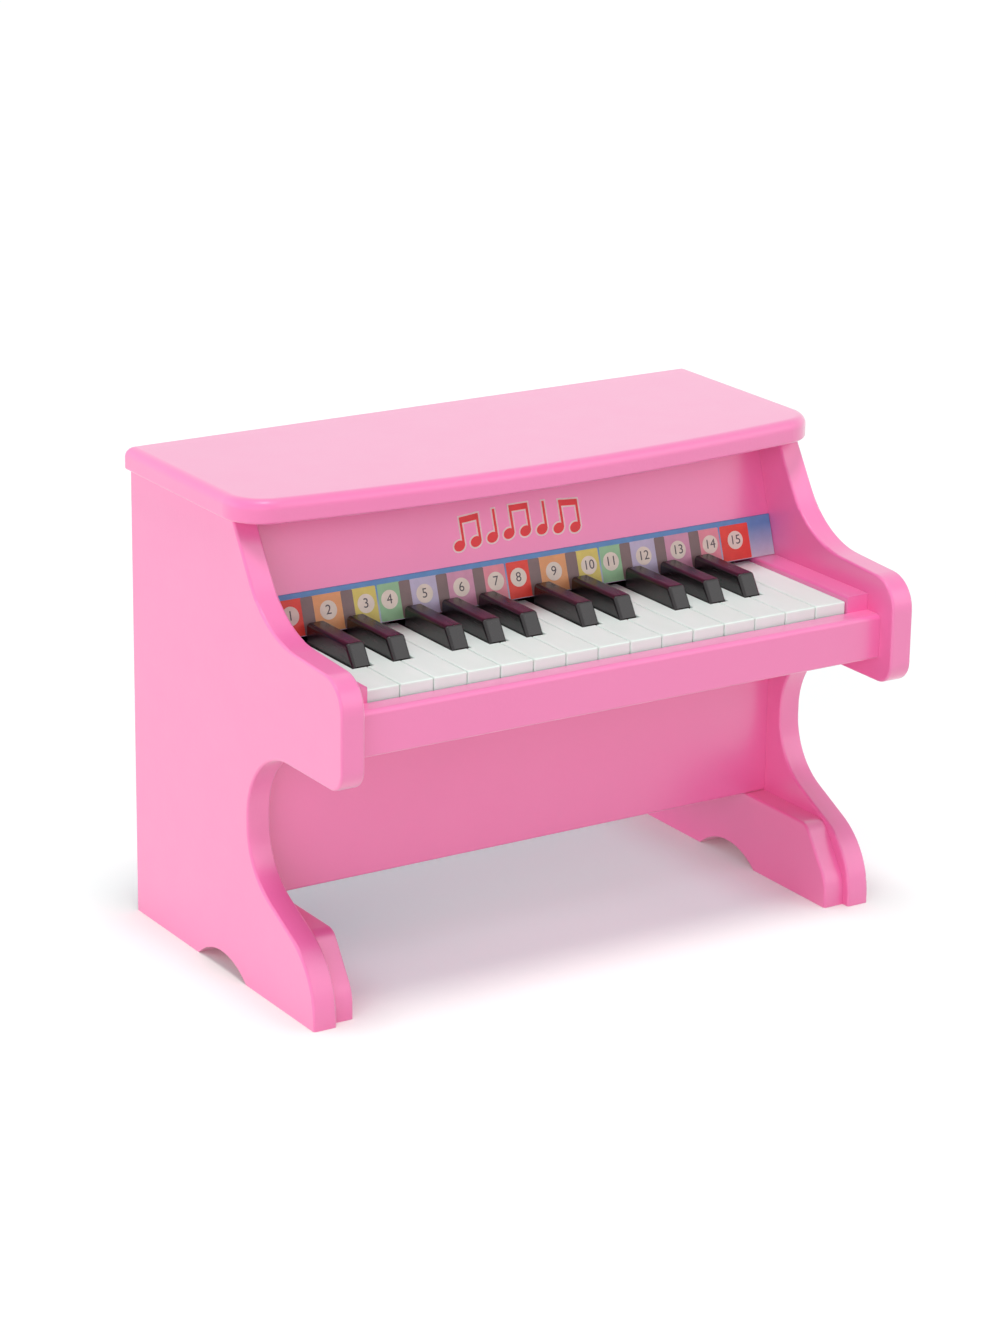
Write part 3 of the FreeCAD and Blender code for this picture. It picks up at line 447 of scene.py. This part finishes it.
def guide_strip():
    """A coloured tile with a pale disc and a plain number over each white key, a grey bar over each black."""
    slope = Slope("key_guide_strip", FALLBOARD_LEAN)
    top = slope.height - STRIP_LINE
    inks = {name: printed(f"ink_{name}", colour) for name, colour in NOTE_COLOURS.items()}
    taupe = printed("ink_taupe", PRINT_TAUPE)
    pale = printed("ink_pale", PRINT_PALE)
    dark = printed("ink_dark", PRINT_DARK)
    tiles = Sticker("guide_strip_tiles", slope, -INK / 2, INK)
    bars = Sticker("guide_strip_bars", slope, INK / 2, BAR_TOP)
    discs = Sticker("guide_strip_discs", slope, INK / 2, DISC_TOP)
    whites = sorted(name for name in frame["nodes"] if name.startswith("white_key"))
    blacks = sorted(name for name in frame["nodes"] if name.startswith("black_key"))
    numbers = bmesh.new()
    bar_edges = []
    for name in blacks:
        x0, x1 = key_span(name)
        middle, half = (x0 + x1) / 2, BAR_SHARE * (x1 - x0) / 2
        bar_edges.append((middle - half, middle + half))
        bars.shape(rounded_box(middle - half, middle + half, STRIP_FOOT, top, TILE_ROUNDING), taupe)
    for i, name in enumerate(whites):
        x0, x1 = key_span(name)
        tiles.shape(rounded_box(x0 + TILE_GAP / 2, x1 - TILE_GAP / 2, STRIP_FOOT, top, TILE_ROUNDING),
                    inks[OCTAVE[i % len(OCTAVE)]])
        left = max([x0] + [b for a, b in bar_edges if a < x0 < b or x0 < b < (x0 + x1) / 2])
        right = min([x1] + [a for a, b in bar_edges if a < x1 < b or (x0 + x1) / 2 < a < x1])
        centre = ((left + right) / 2, STRIP_FOOT + (top - STRIP_FOOT) * DISC_RISE)
        discs.shape(ellipse(centre, (DISC_RADIUS, DISC_RADIUS), DISC_POINTS), pale)
        numbers.from_mesh(digits(str(i + 1), slope, centre, DISC_TOP))
    for sticker in (tiles, bars, discs):
        sticker.finish()
    new_piece("guide_strip_numbers", numbers, [dark])


def note_motif():
    """A row of plain notes, some of them joined by beams, in red with a pale edge."""
    slope = Slope("fallboard", FALLBOARD_LEAN)
    edge = Sticker("fallboard_motif_edge", slope, -INK / 2, INK)
    notes = Sticker("fallboard_motif", slope, -INK / 2, NOTE_TOP)
    inks = ((edge, NOTE_EDGE, printed("motif_pale", MOTIF_PALE)),
            (notes, 0.0, printed("motif_red", MOTIF_RED)))
    middle = (len(NOTE_LIFTS) - 1) / 2
    heads = [((i - middle) * NOTE_STEP, MOTIF_UP + lift) for i, lift in enumerate(NOTE_LIFTS)]
    for sticker, grow, ink in inks:
        reach = STEM_WIDTH / 2 + grow
        tops = []
        for x, up in heads:
            radii = (HEAD_SIZE[0] + grow, HEAD_SIZE[1] + grow)
            sticker.shape(turned(ellipse((x, up), radii, HEAD_POINTS), (x, up), HEAD_TILT), ink)
            stem = x + HEAD_SIZE[0] - STEM_WIDTH / 2
            tops.append((stem, up + STEM_HEIGHT))
            tip = up + STEM_HEIGHT + grow
            sticker.shape([(stem - reach, up), (stem + reach, up), (stem + reach, tip), (stem - reach, tip)],
                          ink, STEM_LIFT)
        for first, second in BEAMED_PAIRS:
            (x0, y0), (x1, y1) = tops[first], tops[second]
            sticker.shape([(x0 - reach, y0 - BEAM_HEIGHT - grow), (x1 + reach, y1 - BEAM_HEIGHT - grow),
                           (x1 + reach, y1 + grow), (x0 - reach, y0 + grow)], ink, BEAM_LIFT)
    edge.finish()
    notes.finish()


# Springs inside the case
def comb_piece(name, cuts):
    """A copy of the comb without what lies beyond the cuts, which are planes by a point and a normal."""
    source = frame["nodes"][COMB].data
    bm = bmesh.new()
    bm.from_mesh(source)
    bmesh.ops.remove_doubles(bm, verts=bm.verts[:], dist=WELD)
    for point, normal in cuts:
        everything = bm.verts[:] + bm.edges[:] + bm.faces[:]
        bmesh.ops.bisect_plane(bm, geom=everything, plane_co=point, plane_no=normal, clear_outer=True)
        bmesh.ops.holes_fill(bm, edges=bm.edges[:])
    bmesh.ops.recalc_face_normals(bm, faces=bm.faces[:])
    return new_piece(name, bm, source.materials)


def spring_comb():
    """The comb of springs as a spine and single leaves, one over each key's tail, each leaf a piece with a mesh of
    its own; the real leaves yield as the tails come up.
    """
    corners = [vertex.co for vertex in frame["nodes"][COMB].data.vertices]
    lowest = min(corner.z for corner in corners)
    tips = []
    for joint in frame["joints"]:
        x = joint["pos_m"][0]
        tips.append(Vector((x, min(c.y for c in corners if abs(c.x - x) < LEAF_ROOM), lowest)))
    first, last = min(tips, key=lambda tip: tip.x), max(tips, key=lambda tip: tip.x)
    root = first + Vector((0, LEAF_LENGTH, 0))
    forward = Vector((last.y - first.y, first.x - last.x, 0)).normalized()
    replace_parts(comb_piece("spring_comb_spine", [(root, forward)]), COMB)
    side = Vector((LEAF_ROOM, 0, 0))
    for joint, tip in zip(frame["joints"], tips):
        leaf = comb_piece(f"spring_leaf_{joint['child']}",
                          [(root, -forward), (tip + side, side), (tip - side, -side)])
        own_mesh(leaf)


# Studio
def floor():
    """A wide pale floor that shows near white to the camera and keeps the shadow; near the feet its glow is
    dimmed, a painted shade.
    """
    bm = bmesh.new()
    bmesh.ops.create_grid(bm, x_segments=2, y_segments=2, size=FLOOR_SIZE / 2)
    mesh = bpy.data.meshes.new("floor")
    bm.to_mesh(mesh)
    bm.free()
    finish = Finish("pale_floor")
    tree = finish.tree
    tree.nodes.remove(finish.shader)
    diffuse = finish.add("ShaderNodeBsdfDiffuse", Color=FLOOR_COLOUR)
    # Painted shade: the glow fades where the case is within reach, darkening the floor at the feet and under the
    # arches
    painted_shade_factor = finish.add("ShaderNodeAmbientOcclusion", {"samples": PAINTED_SHADE_SAMPLES}, Distance=PAINTED_SHADE_REACH)
    glow = finish.add("ShaderNodeEmission", Color=FLOOR_GLOW, Strength=painted_shade_factor.outputs["AO"])
    both = finish.add("ShaderNodeAddShader")
    finish.put(both.inputs[0], diffuse.outputs[0])
    finish.put(both.inputs[1], glow.outputs[0])
    chosen = finish.add("ShaderNodeMixShader")
    finish.put(chosen.inputs[0], seen_directly(tree))
    finish.put(chosen.inputs[1], diffuse.outputs[0])
    finish.put(chosen.inputs[2], both.outputs[0])
    finish.put(tree.nodes["Material Output"].inputs["Surface"], chosen.outputs[0])
    mesh.materials.append(finish.material)
    plane = bpy.data.objects.new("floor", mesh)
    bpy.context.scene.collection.objects.link(plane)


def seen_directly(tree):
    """1 for rays from the camera, mirrored or passed through, and 0 for the light that falls on surfaces."""
    path = tree.nodes.new("ShaderNodeLightPath")
    total = path.outputs["Is Camera Ray"]
    for name in ("Is Glossy Ray", "Is Transmission Ray"):
        larger = tree.nodes.new("ShaderNodeMath")
        larger.operation = "MAXIMUM"
        tree.links.new(total, larger.inputs[0])
        tree.links.new(path.outputs[name], larger.inputs[1])
        total = larger.outputs[0]
    return total


def surroundings():
    """White where it is seen, and a dimmer even light on the object."""
    world = bpy.data.worlds.new("studio")
    world.use_nodes = True
    bpy.context.scene.world = world
    tree = world.node_tree
    shade = tree.nodes["Background"]
    shade.inputs["Color"].default_value = (1, 1, 1, 1)
    strength = tree.nodes.new("ShaderNodeMapRange")
    strength.inputs["To Min"].default_value = AMBIENT
    strength.inputs["To Max"].default_value = 1.0
    tree.links.new(seen_directly(tree), strength.inputs["Value"])
    tree.links.new(strength.outputs["Result"], shade.inputs["Strength"])


def soft_lamp(name, towards, strength, width, mirrored):
    """A distant lamp so wide that its shadows are soft; towards points from the object to the lamp."""
    lamp = bpy.data.lights.new(name, "SUN")
    lamp.energy = strength
    lamp.angle = math.radians(width)
    holder = bpy.data.objects.new(name, lamp)
    holder.rotation_mode = "QUATERNION"
    holder.rotation_quaternion = Vector(towards).to_track_quat("Z", "Y")
    holder.visible_glossy = mirrored
    bpy.context.scene.collection.objects.link(holder)


def camera():
    """Stand the camera where the photograph was taken."""
    flat = math.cos(CAMERA_ELEVATION)
    back = Vector((math.sin(CAMERA_AZIMUTH) * flat, -math.cos(CAMERA_AZIMUTH) * flat,
                   math.sin(CAMERA_ELEVATION)))
    level = Vector((0, 0, 1)).cross(back).normalized()
    rise = back.cross(level)
    right = level * math.cos(CAMERA_ROLL) + rise * math.sin(CAMERA_ROLL)
    up = rise * math.cos(CAMERA_ROLL) - level * math.sin(CAMERA_ROLL)
    data = bpy.data.cameras.new("camera")
    data.lens = CAMERA_LENS
    data.sensor_width = CAMERA_SENSOR
    data.clip_end = CAMERA_REACH
    holder = bpy.data.objects.new("camera", data)
    turn = Matrix((right, up, back)).transposed().to_4x4()
    holder.matrix_world = Matrix.Translation(CAMERA_PLACE) @ turn
    bpy.context.scene.collection.objects.link(holder)
    bpy.context.scene.camera = holder


dress_nodes()
guide_strip()
note_motif()
spring_comb()
floor()
surroundings()
for lamp_values in LAMPS:
    soft_lamp(*lamp_values)
camera()
bpy.context.scene.view_settings.view_transform = "Standard"
